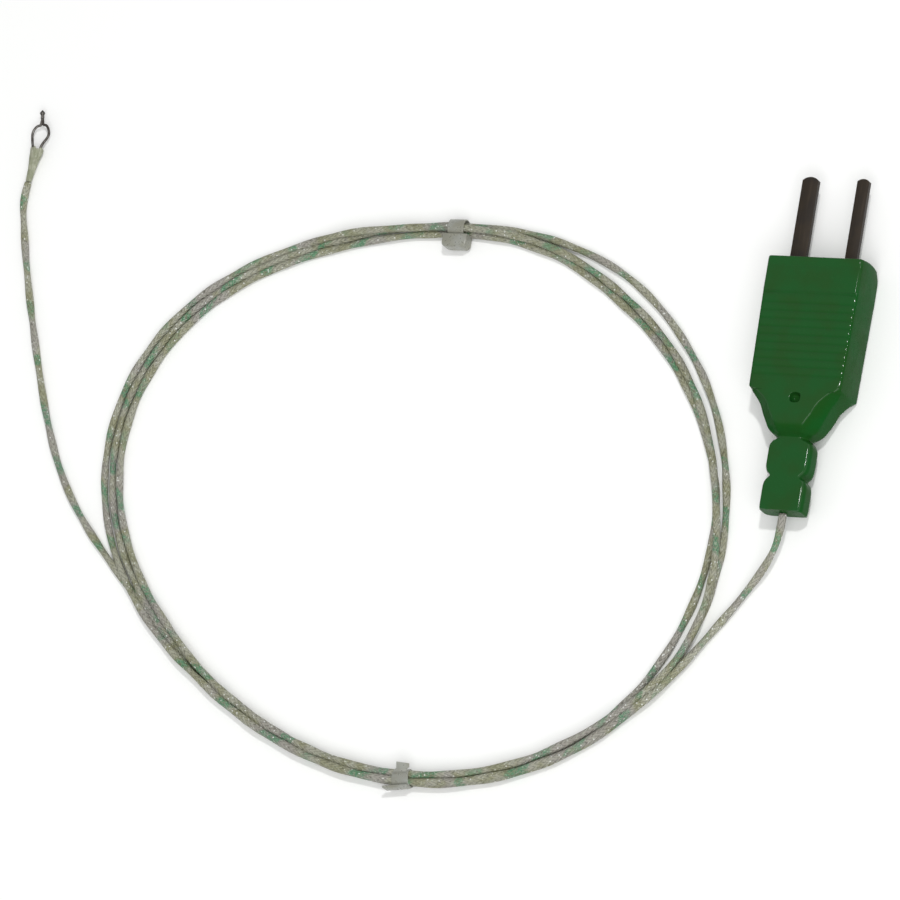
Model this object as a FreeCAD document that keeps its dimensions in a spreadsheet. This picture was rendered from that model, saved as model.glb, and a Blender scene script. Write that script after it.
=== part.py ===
import FreeCAD, Part
import Sketcher
import math
import os

# Wire thermocouple: a moulded two-blade plug with its strain relief, a long fibre-braided lead wound in a
# loose coil under two cable ties, and a bare welded junction at the far end. Millimetres.
# The plug lies on its back: X across the blades, Y from the lead to the blade tips, Z out of the front face.

os.makedirs("parts", exist_ok=True)
doc = FreeCAD.newDocument("thermocouple")

driving = {
    # plug body
    "body_width": 14.2, "body_thick": 7.3, "body_straight": 19.3, "edge_cut": 0.3, "pin_end_round": 1.8,
    "shoulder_drop": 3.0, "shoulder_width": 9.6, "shoulder_cut": 1.7,
    "chin_drop": 2.1, "chin_width": 7.8, "chin_cut": 1.9, "neck_drop": 1.2,
    # strain relief
    "neck_width": 4.8, "lobe_width": 6.6, "relief_thick": 3.8, "relief_cut": 0.95,
    "lobe_pitch": 5.6, "lobe_round": 1.6, "relief_tail": 4.9,
    "relief_groove": 0.45, "groove_drop": 2.3,
    # grip
    "band_drop": 1.3, "band_half": 0.3, "band_depth": 0.15, "step_drop": 5.05,
    "grip_start": 6.7, "grip_pitch": 1.16, "grip_depth": 0.25, "grip_inset": 0.8, "grip_count": 10,
    "dimple_bore": 1.8, "dimple_depth": 1.2, "dimple_drop": 20.8,
    # blades and their carrier
    "blade_pitch": 7.9, "blade_thick": 0.8, "blade_reach": 12.7, "wide_blade": 2.4, "narrow_blade": 1.8,
    "tip_share": 0.4, "barb": 0.6, "barb_long": 1.4, "tail_reach": 10.6, "tail_width": 1.6,
    "carrier_start": 1.6, "carrier_long": 6.2, "carrier_side": 1.1, "carrier_thick": 4.0, "carrier_bore": 2.4,
    # wires, cores and sleeve inside the plug
    "wire_bore": 0.32, "core_bore": 0.5, "core_gap": 0.04, "core_start": 11.0, "core_straight": 1.6,
    "wire_overlap": 2.2, "fan_length": 5.6,
    "sheath_start": 21.2, "sleeve_bore": 2.0, "sleeve_start": 19.9, "sleeve_long": 4.4,
    # lead, coil and ties
    "lead_bore": 1.1, "floor_gap": 0.05, "coil_high": 2.75, "coil_half": 1.25, "coil_radius": 43.9,
    "strap_width": 2.5, "strap_thick": 0.45, "head_width": 4.3, "head_high": 2.9,
    "side_head_depth": 2.1, "low_head_depth": 1.15, "stub_width": 2.0, "stub_long": 1.4,
    # junction
    "seal_bore": 2.0, "seal_long": 5.2, "seal_rise": 0.1, "leg_bore": 0.36, "leg_gap": 0.02, "bead_bore": 0.8,
    "stem_shift": 0.83, "stem_reach": 5.9,
}
sizes = doc.addObject("Spreadsheet::Sheet", "sizes")
for row, (name, value) in enumerate(driving.items(), start=1):
    sizes.set(f"A{row}", name)
    sizes.set(f"B{row}", str(value))
    sizes.setAlias(f"B{row}", name)
doc.recompute()


def size(name):
    return float(sizes.get(name))


# Distances down the plug from its pin-side face, and the places that follow from them.
SHOULDER_END = "sizes.body_straight + sizes.shoulder_drop"
CHIN_END = f"{SHOULDER_END} + sizes.chin_drop"
NECK = f"{CHIN_END} + sizes.neck_drop"
SECOND_NECK = f"{NECK} + sizes.lobe_pitch"
PLUG_LONG = f"{SECOND_NECK} + sizes.relief_tail"
PIN_FACE = f"({PLUG_LONG} - sizes.blade_reach) / 2"
MIDDLE = "sizes.body_thick / 2"
plug_long = sum(size(name) for name in ("body_straight", "shoulder_drop", "chin_drop", "neck_drop",
                                        "lobe_pitch", "relief_tail"))
pin_face = (plug_long - size("blade_reach")) / 2
lead_exit = pin_face - plug_long
middle = size("body_thick") / 2


def new_body(label):
    """A body whose own origin is the middle of the plug's pin-side face."""
    body = doc.addObject("PartDesign::Body", label)
    body.Label = label
    body.setExpression(".Placement.Base.y", PIN_FACE)
    body.setExpression(".Placement.Base.z", MIDDLE)
    return body


def new_sketch(body, name, role, offset="0"):
    sketch = body.newObject("Sketcher::SketchObject", name)
    plane = next(f for f in body.Origin.OriginFeatures if f.Role == role)
    sketch.AttachmentSupport = [(plane, "")]
    sketch.MapMode = "FlatFace"
    sketch.setExpression(".AttachmentOffset.Base.z", offset)
    return sketch


def add_polygon(sketch, corners):
    """A closed outline whose corners are pairs of expressions, measured from the sketch's origin."""
    first = sketch.GeometryCount
    count = len(corners)
    turns = [2 * math.pi * i / count for i in range(count)]
    start = [FreeCAD.Vector(math.cos(turn), math.sin(turn), 0) for turn in turns]
    for i in range(count):
        sketch.addGeometry(Part.LineSegment(start[i], start[(i + 1) % count]))
    for i in range(count):
        after = (i + 1) % count
        sketch.addConstraint(Sketcher.Constraint("Coincident", first + i, 2, first + after, 1))
    for i, (across, along) in enumerate(corners):
        for kind, expression, place in (("DistanceX", across, start[i].x), ("DistanceY", along, start[i].y)):
            index = sketch.addConstraint(Sketcher.Constraint(kind, -1, 1, first + i, 1, place))
            sketch.setExpression(f"Constraints[{index}]", expression)


def add_circle(sketch, along, radius):
    index = sketch.addGeometry(Part.Circle(FreeCAD.Vector(), FreeCAD.Vector(0, 0, 1), 1))
    sketch.addConstraint(Sketcher.Constraint("PointOnObject", index, 3, -2))
    place = sketch.addConstraint(Sketcher.Constraint("DistanceY", -1, 1, index, 3, 1))
    sketch.setExpression(f"Constraints[{place}]", along)
    bore = sketch.addConstraint(Sketcher.Constraint("Radius", index, 1))
    sketch.setExpression(f"Constraints[{bore}]", radius)


def add_feature(body, kind, name, sketch, **settings):
    feature = body.newObject(f"PartDesign::{kind}", name)
    feature.Profile = sketch
    for setting, value in settings.items():
        setattr(feature, setting, value)
    return feature


def cut_across(body, name, corners_list, reach):
    """Cuts grooves that run across the plug, one for each outline in the plug's side view."""
    sketch = new_sketch(body, f"{name}_outline", "YZ_Plane")
    for corners in corners_list:
        add_polygon(sketch, corners)
    pocket = add_feature(body, "Pocket", name, sketch, SideType="Symmetric")
    pocket.setExpression(".Length", reach)
    return pocket


def groove_pair(drop, half_thick, opening, depth):
    """Outlines of a groove in the front face and of the same groove in the back face."""
    return [[(f"-({drop}) - {opening}", f"{sign}({half_thick} + {depth})"),
             (f"-({drop}) + {opening}", f"{sign}({half_thick} + {depth})"),
             (f"-({drop})", f"{sign}({half_thick} - {depth})")] for sign in ("", "-")]


# Plug body and strain relief: eight-sided sections joined down the plug.

def octagon(half_wide, half_thick, cut):
    wide, thick = f"({half_wide})", f"({half_thick})"
    flat, side = f"({half_wide} - {cut})", f"({half_thick} - {cut})"
    return [(flat, f"-{thick}"), (wide, f"-{side}"), (wide, side), (flat, thick),
            (f"-{flat}", thick), (f"-{wide}", side), (f"-{wide}", f"-{side}"), (f"-{flat}", f"-{thick}")]


def lobe_stations(start, last):
    """Distance and half width of each section of one lobe, from the neck that it starts at."""
    neck, lobe, swell = "sizes.neck_width / 2", "sizes.lobe_width / 2", "sizes.lobe_round"
    rise = [(0, 0), (0.2, 0.55), (0.6, 0.88), (1, 1)]
    stations = [(f"{start} + {share} * {swell}", f"{neck} + {part} * ({lobe} - {neck})")
                for share, part in rise]
    if last:
        return stations + [(PLUG_LONG, lobe)]
    return stations + [(f"{start} + sizes.lobe_pitch - {share} * {swell}",
                        f"{neck} + {part} * ({lobe} - {neck})") for share, part in reversed(rise[1:])]


stations = [("0", "sizes.body_width / 2", MIDDLE, "sizes.edge_cut"),
            ("sizes.body_straight", "sizes.body_width / 2", MIDDLE, "sizes.edge_cut"),
            (SHOULDER_END, "sizes.shoulder_width / 2", MIDDLE, "sizes.shoulder_cut"),
            (CHIN_END, "sizes.chin_width / 2", MIDDLE, "sizes.chin_cut")]
for drop, half_wide in lobe_stations(NECK, False) + lobe_stations(SECOND_NECK, True):
    stations.append((drop, half_wide, "sizes.relief_thick / 2", "sizes.relief_cut"))

blank = new_body("overmould_blank")
sections = []
for number, (drop, half_wide, half_thick, cut) in enumerate(stations):
    section = new_sketch(blank, f"section_{number}", "XZ_Plane", drop)
    add_polygon(section, octagon(half_wide, half_thick, cut))
    sections.append(section)
loft = add_feature(blank, "AdditiveLoft", "plug_loft", sections[0], Sections=sections[1:], Ruled=True)

# Two shallow lines round the plain band near the pins, then a row of finger grooves, on the front and on
# the back.
grip_reach = "sizes.body_width - 2 * sizes.edge_cut - 2 * sizes.grip_inset"
cut_across(blank, "band_line",
           groove_pair("sizes.band_drop", MIDDLE, "sizes.band_half", "sizes.band_depth")
           + groove_pair("sizes.step_drop", MIDDLE, "sizes.band_half", "sizes.band_depth"), grip_reach)
first_grip = cut_across(blank, "finger_groove",
                        groove_pair("sizes.grip_start", MIDDLE, "sizes.grip_pitch / 3", "sizes.grip_depth"),
                        grip_reach)
grips = blank.newObject("PartDesign::LinearPattern", "finger_grooves")
grips.Originals = [first_grip]
grips.Direction = (first_grip.Profile[0], ["H_Axis"])
grips.Reversed = True
grips.setExpression(".Length", "(sizes.grip_count - 1) * sizes.grip_pitch")
grips.setExpression(".Occurrences", "sizes.grip_count")
blank.Tip = grips

# The strain relief flexes at one groove across each lobe, front and back.
relief_grooves = []
for start in (NECK, SECOND_NECK):
    relief_grooves += groove_pair(f"{start} + sizes.groove_drop", "sizes.relief_thick / 2",
                                  "sizes.relief_groove", "sizes.relief_groove")
cut_across(blank, "relief_grooves", relief_grooves, "2 * sizes.lobe_width")

# The back edge of the pin end is cut away to a round.
back = f"-{MIDDLE}"
round_off = []
for share, rise in ((0, 1), (0.1, 0.564), (0.3, 0.286), (0.6, 0.083), (1, 0)):
    round_off.append((f"-{share} * sizes.pin_end_round", f"{back} + {rise} * sizes.pin_end_round"))
round_off += [("sizes.band_half", f"{back} - sizes.band_half"),
              ("sizes.band_half", f"{back} + sizes.pin_end_round")]
cut_across(blank, "pin_end_cut", [round_off], "2 * sizes.body_width")

dimple_outline = new_sketch(blank, "dimple_outline", "XY_Plane", f"{MIDDLE}")
add_circle(dimple_outline, "-sizes.dimple_drop", "sizes.dimple_bore / 2")
dimple = add_feature(blank, "Pocket", "dimple", dimple_outline)
dimple.setExpression(".Length", "sizes.dimple_depth")


# Blades: flat, with a rounded tip, a barb that locks in the carrier and a tail for the wire.

def blade(label, side, width):
    body = new_body(label)
    body.setExpression(".Placement.Base.x", f"{side} * sizes.blade_pitch / 2")
    outline = new_sketch(body, f"{label}_outline", "XY_Plane", "-sizes.blade_thick / 2")
    half = f"{width} / 2"
    barb_top = "-(sizes.carrier_start + sizes.barb_long)"
    barb_end = "-(sizes.carrier_start + 2 * sizes.barb_long)"
    carrier_end = "-(sizes.carrier_start + sizes.carrier_long)"
    right = [("sizes.tail_width / 2", "-sizes.tail_reach"), ("sizes.tail_width / 2", carrier_end),
             (half, carrier_end), (half, barb_end), (f"{half} + sizes.barb", barb_end),
             (half, barb_top), (half, "sizes.blade_reach")]
    left = [(f"-({across})", along) for across, along in reversed(right)]
    add_polygon(outline, right + left)
    pad = add_feature(body, "Pad", f"{label}_pad", outline)
    pad.setExpression(".Length", "sizes.blade_thick")
    doc.recompute()
    near_tip = size("blade_reach") * 0.99
    corners = [f"Edge{number}" for number, edge in enumerate(pad.Shape.Edges, start=1)
               if edge.BoundBox.YMin > near_tip and edge.BoundBox.ZLength > edge.BoundBox.XLength]
    fillet = body.newObject("PartDesign::Fillet", f"{label}_tip")
    fillet.Base = (pad, corners)
    fillet.setExpression(".Radius", f"sizes.tip_share * {width}")
    return body


blades = [blade("negative_blade", -1, "sizes.wide_blade"), blade("positive_blade", 1, "sizes.narrow_blade")]


def fuse(name, shapes):
    joined = doc.addObject("Part::MultiFuse", name)
    joined.Shapes = shapes
    return joined


def cut(label, base, tool):
    result = doc.addObject("Part::Cut", label)
    result.Label = label
    result.Base = base
    result.Tool = tool
    return result


def cylinder(name, start, length, bore):
    """A cylinder on the plug's middle line, from a distance below the pin-side face towards the lead."""
    rod = doc.addObject("Part::Cylinder", name)
    rod.Placement.Rotation = FreeCAD.Rotation(FreeCAD.Vector(1, 0, 0), 90)
    rod.setExpression(".Placement.Base.y", f"{PIN_FACE} - {start}")
    rod.setExpression(".Placement.Base.z", MIDDLE)
    rod.setExpression(".Height", length)
    rod.setExpression(".Radius", f"{bore} / 2")
    return rod


# Carrier: the hard block that holds both blades at their pitch while the plug is moulded over it.
block = doc.addObject("Part::Box", "carrier_block")
block.setExpression(".Length", "sizes.blade_pitch + sizes.wide_blade + 2 * sizes.carrier_side")
block.setExpression(".Width", "sizes.carrier_long")
block.setExpression(".Height", "sizes.carrier_thick")
block.setExpression(".Placement.Base.x", "-(sizes.blade_pitch + sizes.wide_blade) / 2 - sizes.carrier_side")
block.setExpression(".Placement.Base.y", f"{PIN_FACE} - sizes.carrier_start - sizes.carrier_long")
block.setExpression(".Placement.Base.z", f"{MIDDLE} - sizes.carrier_thick / 2")
keying_hole = doc.addObject("Part::Cylinder", "keying_hole")
keying_hole.setExpression(".Radius", "sizes.carrier_bore / 2")
keying_hole.setExpression(".Height", "sizes.body_thick")
keying_hole.setExpression(".Placement.Base.y", f"{PIN_FACE} - sizes.carrier_start - sizes.carrier_long / 2")
carrier = cut("pin_carrier", block, fuse("carrier_cuts", blades + [keying_hole]))

# Sleeve that binds the braid's end, and the stretch of lead inside the strain relief.
sleeve_body = cylinder("sleeve_body", "sizes.sleeve_start", "sizes.sleeve_long", "sizes.sleeve_bore")
sleeve_hole = cylinder("sleeve_hole", "sizes.sleeve_start", "sizes.sleeve_long", "sizes.lead_bore")
sleeve = cut("anchor_sleeve", sleeve_body, sleeve_hole)
inner_lead = cylinder("inner_lead", "sizes.sheath_start", f"{PLUG_LONG} - sizes.sheath_start",
                      "sizes.lead_bore")
inner_lead.Label = "inner_lead"


# Wires and lead: straight runs joined by tangent arcs.

def run_path(points, report=""):
    """Edges through the points, with an arc at each corner of 0.45 of its shorter run."""
    places = [FreeCAD.Vector(*point) for point in points]
    edges = []
    radii = []
    begin = places[0]
    for before, corner, after in zip(places, places[1:], places[2:]):
        back, ahead = before - corner, after - corner
        reach = 0.45 * min(back.Length, ahead.Length)
        half_turn = (math.pi - back.getAngle(ahead)) / 2
        radius = reach / math.tan(half_turn)
        radii.append(radius)
        back.normalize()
        ahead.normalize()
        enter, leave = corner + back * reach, corner + ahead * reach
        inward = back + ahead
        inward.normalize()
        apex = corner + inward * (radius / math.cos(half_turn) - radius)
        edges += [Part.LineSegment(begin, enter).toShape(), Part.Arc(enter, apex, leave).toShape()]
        begin = leave
    edges.append(Part.LineSegment(begin, places[-1]).toShape())
    if report:
        print(report, "arc radii", ", ".join(f"{radius:.1f}" for radius in radii))
    return Part.Wire(edges)


def tube(points, bore, report=""):
    path = run_path(points, report)
    ahead = FreeCAD.Vector(*points[1]) - FreeCAD.Vector(*points[0])
    ring = Part.Wire(Part.Circle(FreeCAD.Vector(*points[0]), ahead, bore / 2).toShape())
    swept = path.makePipeShell([ring], True, False)
    section = math.pi * bore ** 2 / 4
    if report:
        print(report, f"length {path.Length:.1f}, volume {swept.Volume:.2f}",
              f"section times length {section * path.Length:.2f}")
    return swept


def add_shape(label, shape):
    piece = doc.addObject("Part::Feature", label)
    piece.Label = label
    piece.Shape = shape
    return piece


conductors = []
cores = []
wire_lift = size("blade_thick") / 2 + size("wire_bore") / 2
for name, side in (("negative", -1), ("positive", 1)):
    fan_start = size("core_start") + size("core_straight")
    outer, inner = side * size("blade_pitch") / 2, side * (size("core_bore") + size("core_gap")) / 2
    bend = [(outer, pin_face - fan_start, middle + wire_lift),
            (inner, pin_face - fan_start - size("fan_length"), middle),
            (inner, pin_face - size("sheath_start"), middle)]
    wire_start = (outer, pin_face - size("tail_reach") + size("wire_overlap"), middle + wire_lift)
    core_start = (outer, pin_face - size("core_start"), middle + wire_lift)
    wire = tube([wire_start] + bend, size("wire_bore"))
    conductors.append(add_shape(f"{name}_wire_end", wire))
    cores.append(add_shape(f"{name}_core", tube([core_start] + bend, size("core_bore")).cut(wire)))

# The overmould fills everything around the inner pieces.
inside = fuse("inner_pieces", blades + [carrier, sleeve_body, inner_lead] + conductors + cores)
overmould = cut("plug_overmould", blank, inside)

# Coil: the lead's turns bulge and fan out round an oval, and lie close under the two ties.
coil_centre = FreeCAD.Vector(-57.5, -25, 0)
waves = ((1, 0.45, 71), (2, 4.6, -16.4), (3, 1.0, 51), (4, 0.6, -19))
fans = ((45, 45, 1.2), (160, 60, 0.6), (-12, 40, 0.6))


def coil_middle(angle):
    return size("coil_radius") + sum(rise * math.cos(math.radians(count * (angle - lean)))
                                     for count, rise, lean in waves)


def coil_half(angle):
    half = size("coil_half")
    for at, spread, rise in fans:
        away = (angle - at + 180) % 360 - 180
        if abs(away) < spread:
            half += rise * math.cos(math.radians(90 * away / spread)) ** 2
    return half


def coil_face(side):
    """The flat shape inside the coil's outer edge (side 1) or its inner edge (side -1)."""
    knots = 48
    edge = Part.BSplineCurve()
    angles = [360 * i / knots for i in range(knots)]
    ways = [FreeCAD.Vector(math.cos(math.radians(angle)), math.sin(math.radians(angle)), 0) for angle in angles]
    edge.interpolate([coil_centre + way * (coil_middle(angle) + side * coil_half(angle))
                      for way, angle in zip(ways, angles)], PeriodicFlag=True)
    return Part.Face(Part.Wire(edge.toShape()))


ring = coil_face(1).cut(coil_face(-1)).extrude(FreeCAD.Vector(0, 0, size("coil_high")))

# The lead's loose ends, as chosen points: out of the strain relief and down onto the coil, and from the
# coil out to the junction. Each ends in a straight tail that belongs to the coil. Where the lead lies on
# the floor, its middle is low above it.
low = size("lead_bore") / 2 + size("floor_gap")
plug_lead = [(0, lead_exit, middle), (-0.1, -28, 3.3), (-2.1, -31.8, 1.9), (-5.2, -36, low + 0.2),
             (-8.3, -40.6, low + 0.2)]
junction_lead = [(-104.2, -37.1, low), (-110.2, -31, low), (-114.9, -24.6, low), (-118.9, -16.6, low),
                 (-123.4, -4.8, low), (-127, 5.8, low), (-129.1, 13.2, low), (-130.05, 17, low + 0.05),
                 (-129.7, 19.8, low + 0.15)]
coil_tail = 11
add_shape("plug_lead", tube(plug_lead, size("lead_bore"), "plug_lead"))
add_shape("junction_lead", tube(junction_lead, size("lead_bore"), "junction_lead"))


def tail(end, beside):
    """The straight stretch that carries a lead's end on into the coil, level with the floor."""
    ahead = FreeCAD.Vector(*end) - FreeCAD.Vector(*beside)
    ahead.normalize()
    return Part.makeCylinder(size("lead_bore") / 2, coil_tail, FreeCAD.Vector(*end), ahead)


# Cable ties: a strap round the bundle, a head on one side of it and, on one tie, the cut strap's stub.

def cable_tie(angle, head_side, head_deep, head_shift, stub_side):
    half, high = coil_half(angle), size("coil_high")
    strap, thick = size("strap_width"), size("strap_thick")
    head_wide, head_high = size("head_width"), size("head_high")
    head_start = head_shift - head_wide / 2
    band = Part.makeBox(2 * (half + thick), strap, high + thick, FreeCAD.Vector(-half - thick, -strap / 2, 0))
    hole = Part.makeBox(2 * half, strap, high - thick, FreeCAD.Vector(-half, -strap / 2, thick))
    band = band.cut(hole)
    near = half if head_side > 0 else -half - head_deep
    band = band.fuse(Part.makeBox(head_deep, head_wide, head_high,
                                  FreeCAD.Vector(near, head_start, thick / 4)))
    if stub_side:
        long, stub_wide = size("stub_long") + thick, size("stub_width")
        near = half if stub_side > 0 else -half - long
        band = band.fuse(Part.makeBox(long, stub_wide, thick, FreeCAD.Vector(near, -stub_wide / 2, high)))
    turn = FreeCAD.Rotation(FreeCAD.Vector(0, 0, 1), angle)
    place = coil_centre + turn.multVec(FreeCAD.Vector(coil_middle(angle), 0, 0))
    return band.transformGeometry(FreeCAD.Placement(place, turn).toMatrix()).removeSplitter()


ties = [add_shape("upper_tie", cable_tie(91.2, -1, size("side_head_depth"), -0.1, 0)),
        add_shape("lower_tie", cable_tie(-82, 1, size("low_head_depth"), -0.75, -1))]
coil = ring.fuse([tail(plug_lead[-1], plug_lead[-2]), tail(junction_lead[0], junction_lead[1])])
add_shape("lead_coil", coil.cut([tie.Shape for tie in ties]).removeSplitter())

# Junction: the sealed, flared end of the braid, two bare wires that bow apart, and the welded bead.
seal_start = FreeCAD.Vector(*junction_lead[-1])
seal_ahead = seal_start - FreeCAD.Vector(*junction_lead[-2])
seal_ahead.z += size("seal_rise")
seal_ahead.normalize()
seal_end = seal_start + seal_ahead * size("seal_long")
stem_ahead = FreeCAD.Vector(-0.208, 0.978, 0)
stem_across = FreeCAD.Vector(0.978, 0.208, 0)


def leg(points):
    """A bare wire through points given across and along the stem's direction, from the seal's end."""
    places = [seal_end + stem_across * across + stem_ahead * along for across, along in points]
    return tube([(place.x, place.y, place.z) for place in places], size("leg_bore"))


leg_step = (size("leg_bore") + size("leg_gap")) / 2
stem_left, stem_right = size("stem_shift") - leg_step, size("stem_shift") + leg_step
stem_reach = size("stem_reach")
negative_leg = leg([(-0.5, -1.6), (-0.8, 0.5), (-0.85, 2.4), (stem_left, 3.9), (stem_left, stem_reach)])
positive_leg = leg([(0.35, -1.6), (0.62, 0.3), (1.9, 2.2), (stem_right, 3.8), (stem_right, stem_reach)])
seal = Part.makeCone(size("lead_bore") / 2, size("seal_bore") / 2, size("seal_long"), seal_start, seal_ahead)
bead_at = seal_end + stem_across * size("stem_shift") + stem_ahead * stem_reach
bead = Part.makeSphere(size("bead_bore") / 2, bead_at)
legs = [negative_leg, positive_leg]
add_shape("seal_cone", seal.cut(legs))
add_shape("negative_leg", negative_leg)
add_shape("positive_leg", positive_leg)
add_shape("junction_bead", bead.cut(legs))

doc.recompute()
node_names = ["plug_overmould", "pin_carrier", "negative_blade", "positive_blade", "negative_wire_end",
              "positive_wire_end", "negative_core", "positive_core", "anchor_sleeve", "inner_lead",
              "plug_lead", "lead_coil", "junction_lead", "seal_cone", "negative_leg", "positive_leg",
              "junction_bead", "upper_tie", "lower_tie"]
for item in doc.Objects:
    if "Invalid" in item.State or "Error" in item.State:
        raise RuntimeError(f"{item.Label} failed: {item.State}")
nodes = [doc.getObjectsByLabel(name)[0] for name in node_names]
for node in nodes:
    if node.Shape.isNull() or not node.Shape.isValid():
        raise RuntimeError(f"{node.Label} has no valid shape")
for node in nodes:
    node.Shape.exportStep(f"parts/{node.Label}.step")
    print(f"{node.Label}: {len(node.Shape.Solids)} solid, {node.Shape.Volume:.1f} mm3")
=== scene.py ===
import math
import bmesh
import bpy
from mathutils import Matrix, Quaternion, Vector


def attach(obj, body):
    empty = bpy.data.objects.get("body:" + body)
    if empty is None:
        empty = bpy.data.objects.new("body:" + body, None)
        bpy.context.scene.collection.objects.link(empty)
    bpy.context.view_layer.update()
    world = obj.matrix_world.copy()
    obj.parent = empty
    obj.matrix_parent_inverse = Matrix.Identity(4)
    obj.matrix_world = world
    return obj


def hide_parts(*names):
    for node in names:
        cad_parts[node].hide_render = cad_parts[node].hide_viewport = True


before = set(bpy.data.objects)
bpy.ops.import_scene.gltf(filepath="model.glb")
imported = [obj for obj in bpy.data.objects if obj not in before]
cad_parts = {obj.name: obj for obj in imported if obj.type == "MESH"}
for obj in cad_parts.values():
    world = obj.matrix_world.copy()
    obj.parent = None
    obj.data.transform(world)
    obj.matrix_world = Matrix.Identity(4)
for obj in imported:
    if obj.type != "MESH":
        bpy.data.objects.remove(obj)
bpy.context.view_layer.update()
mm = 0.001
print("frame loaded:", len(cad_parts), "nodes")


# Camera

view = {
    "aim": (-53.7, -17.2, 0), "towards": (0.486, -0.277, 1), "distance": 900,   # millimetres
    "lens": 253.3, "sensor": 36,
    "plugTilt": 79.84,      # how steeply the plug's own length stands in the view, in degrees
}


def addCamera():
    back = Vector(view["towards"]).normalized()
    plugWay = (Vector((0, 1, 0)) - back * back.y).normalized()
    up = Quaternion(back, math.radians(90 - view["plugTilt"])) @ plugWay
    turn = Matrix((up.cross(back), up, back)).transposed()
    place = (Vector(view["aim"]) + back * view["distance"]) * mm
    bpy.ops.object.camera_add(location=place, rotation=turn.to_euler())
    camera = bpy.context.object
    camera.data.lens = view["lens"]
    camera.data.sensor_width = view["sensor"]
    camera.data.clip_start = 0.01
    bpy.context.scene.camera = camera


addCamera()


# Small helpers for modelling by hand

def clearSelection():
    if bpy.context.object and bpy.context.object.mode != "OBJECT":
        bpy.ops.object.mode_set(mode="OBJECT")
    bpy.ops.object.select_all(action="DESELECT")


def work(piece):
    clearSelection()
    piece.select_set(True)
    bpy.context.view_layer.objects.active = piece


def edit(piece):
    work(piece)
    bpy.ops.object.mode_set(mode="EDIT")


def pick(kind, test):       # selects only what passes the test, in the mesh being edited
    bpy.ops.mesh.select_mode(type=kind)
    bpy.ops.mesh.select_all(action="DESELECT")
    mesh = bmesh.from_edit_mesh(bpy.context.object.data)
    parts = {"VERT": mesh.verts, "EDGE": mesh.edges, "FACE": mesh.faces}[kind]
    for part in [part for part in parts if test(part)]:
        part.select_set(True)
    mesh.select_flush_mode()
    bmesh.update_edit_mesh(bpy.context.object.data)


def middleOf(part):
    return sum((corner.co for corner in part.verts), Vector()) / len(part.verts)


def wayOf(edge):
    return (edge.verts[1].co - edge.verts[0].co).normalized()


def stretch(value, about):
    bpy.ops.transform.resize(value=value, center_override=about)


def cutAt(place, normal):
    bpy.ops.mesh.select_all(action="SELECT")
    bpy.ops.mesh.bisect(plane_co=place, plane_no=normal)


def finishWith(piece, kind, **settings):
    work(piece)
    modifier = piece.modifiers.new(kind.title(), kind)
    for name, value in settings.items():
        setattr(modifier, name, value)
    bpy.ops.object.modifier_apply(modifier=modifier.name)


def tidyNormals(piece):
    edit(piece)
    bpy.ops.mesh.select_all(action="SELECT")
    bpy.ops.mesh.remove_doubles(threshold=0.002 * mm)
    bpy.ops.mesh.normals_make_consistent(inside=False)
    bpy.ops.object.mode_set(mode="OBJECT")


def settle(piece, name, place=None):        # puts the object's place into its mesh
    work(piece)
    piece.name = piece.data.name = name
    if place is not None:
        piece.matrix_world = place @ piece.matrix_world
    bpy.ops.object.transform_apply(location=True, rotation=True, scale=True)
    return piece


def join(pieces, name):
    clearSelection()
    for piece in pieces:
        piece.select_set(True)
    bpy.context.view_layer.objects.active = pieces[0]
    bpy.ops.object.join()
    return settle(bpy.context.object, name)


def claim(piece, slot, *nodes):
    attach(piece, "root")
    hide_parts(*nodes)


# Lead: out of the plug, round the coil and off to the junction, as one spline

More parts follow.
